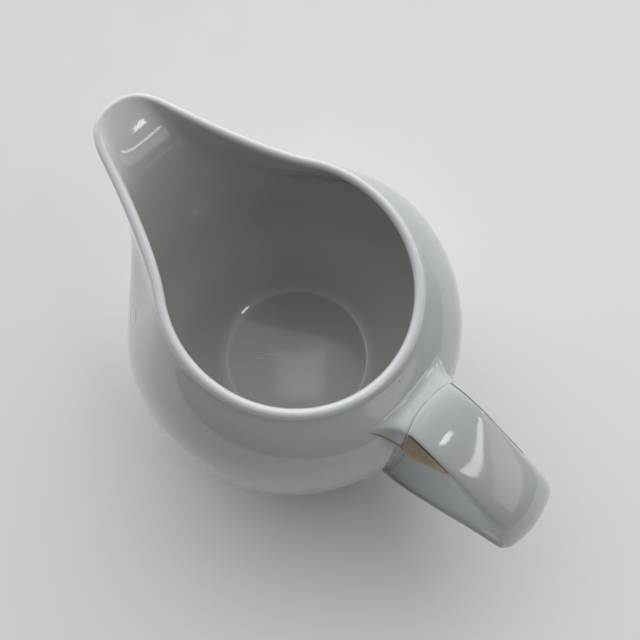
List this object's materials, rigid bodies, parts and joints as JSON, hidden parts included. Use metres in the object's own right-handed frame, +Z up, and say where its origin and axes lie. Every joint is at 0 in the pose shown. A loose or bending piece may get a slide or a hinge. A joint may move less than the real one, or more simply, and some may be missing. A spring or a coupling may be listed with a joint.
{
  "type": "cream jug",
  "caption": "Round-bellied porcelain cream jug with a drawn-out spout, a sloping rim, a foot ring and a strap handle with gilt sides.",
  "frame": {"origin": "on the table plane, midway between the tip of the spout and the outermost point of the handle; the jug's own axis is 9.875 mm towards the spout from it", "axes": "+Z up, +X towards the handle, -X towards the spout, +Y to the left when looking from the spout to the handle"},
  "size_m": [0.1306, 0.085, 0.0757],
  "materials": {
    "porcelain_glaze": "glossy clear glaze over white body",
    "porcelain_biscuit": "unglazed, fine matt",
    "gilding": "worn satin gold"
  },
  "bodies": {
    "root": {"vessel_body": "porcelain_glaze", "foot_ring": "porcelain_biscuit", "upper_handle_root": "porcelain_glaze", "handle_strap": "porcelain_glaze", "lower_handle_root": "porcelain_glaze", "gilt_band_right": "gilding", "gilt_band_left": "gilding"}
  },
  "joints": []
}
